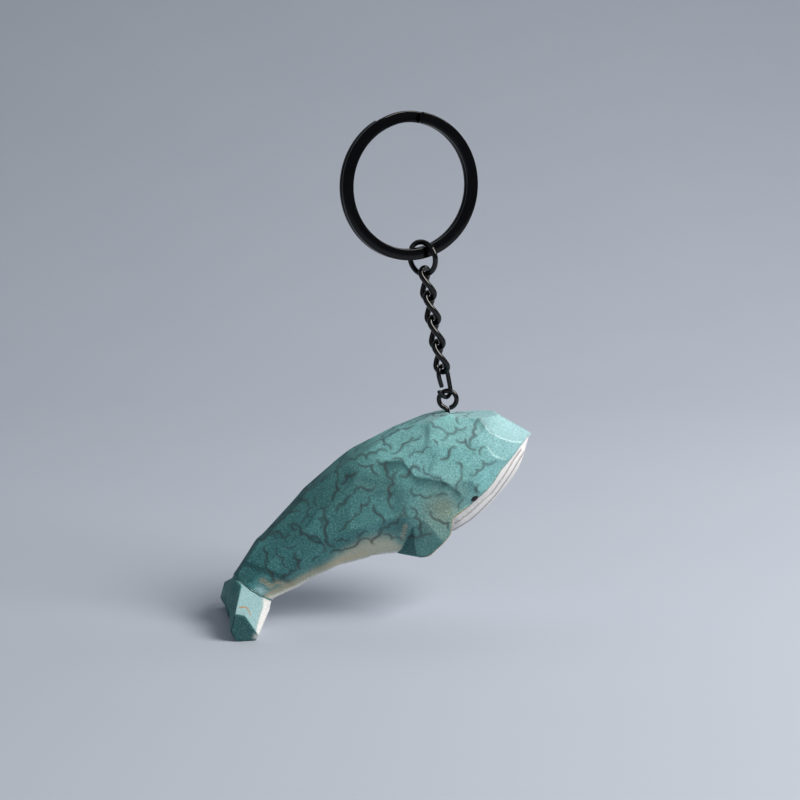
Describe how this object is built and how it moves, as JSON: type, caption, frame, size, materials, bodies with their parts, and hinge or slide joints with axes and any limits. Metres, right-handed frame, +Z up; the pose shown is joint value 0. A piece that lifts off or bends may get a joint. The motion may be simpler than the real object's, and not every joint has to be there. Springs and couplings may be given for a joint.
{
  "type": "whale key ring",
  "caption": "Carved and painted wooden whale hung by a screw eye from a short twisted chain, a jump ring and a split ring that holds keys.",
  "frame": {"origin": "inside top of the split ring, where a hook, nail or thread holds the key ring up", "axes": "+Z up along the hanging chain, +X towards the whale's head, -Y towards the flank that faces the viewer"},
  "size_m": [0.0646, 0.025, 0.1049],
  "materials": {
    "ring_steel": "glossy black plating",
    "chain_wire": "glossy black plating",
    "painted_wood": "satin teal paint over knife-cut facets"
  },
  "bodies": {
    "split_ring": {"split_ring": "ring_steel"},
    "jump_ring": {"jump_ring": "chain_wire"},
    "link_1": {"curb_link_1": "chain_wire"},
    "link_2": {"curb_link_2": "chain_wire"},
    "link_3": {"curb_link_3": "chain_wire"},
    "link_4": {"curb_link_4": "chain_wire"},
    "end_link": {"end_link": "chain_wire"},
    "whale": {"screw_eye": "chain_wire", "whale_body": "painted_wood", "tail_fluke": "painted_wood"}
  },
  "joints": [
    {"name": "jump_ring_swing", "type": "hinge", "parent": "split_ring", "child": "jump_ring", "pos_m": [0.00268, 0.00067, -0.02627], "axis": [0.9508, 0.2371, 0.1994], "range_deg": [-70, 70]},
    {"name": "link_1_swing", "type": "hinge", "parent": "jump_ring", "child": "link_1", "pos_m": [0.00329, 0.00061, -0.03073], "axis": [0.6224, -0.7771, 0.093], "range_deg": [-70, 70]},
    {"name": "link_2_swing", "type": "hinge", "parent": "link_1", "child": "link_2", "pos_m": [0.004, 0.00061, -0.03452], "axis": [-0.695, -0.7071, -0.1301], "range_deg": [-70, 70]},
    {"name": "link_3_swing", "type": "hinge", "parent": "link_2", "child": "link_3", "pos_m": [0.0052, 0.00061, -0.04091], "axis": [-0.695, 0.7071, -0.1301], "range_deg": [-70, 70]},
    {"name": "link_4_swing", "type": "hinge", "parent": "link_3", "child": "link_4", "pos_m": [0.0059, 0.00061, -0.04464], "axis": [-0.695, -0.7071, -0.1301], "range_deg": [-70, 70]},
    {"name": "end_link_swing", "type": "hinge", "parent": "link_4", "child": "end_link", "pos_m": [0.00709, 0.00061, -0.05103], "axis": [-0.695, 0.7071, -0.1301], "range_deg": [-70, 70]},
    {"name": "whale_swing", "type": "hinge", "parent": "end_link", "child": "whale", "pos_m": [0.00808, 0.00061, -0.05631], "axis": [-0.2079, -0.9781, 0], "range_deg": [-70, 70]}
  ]
}
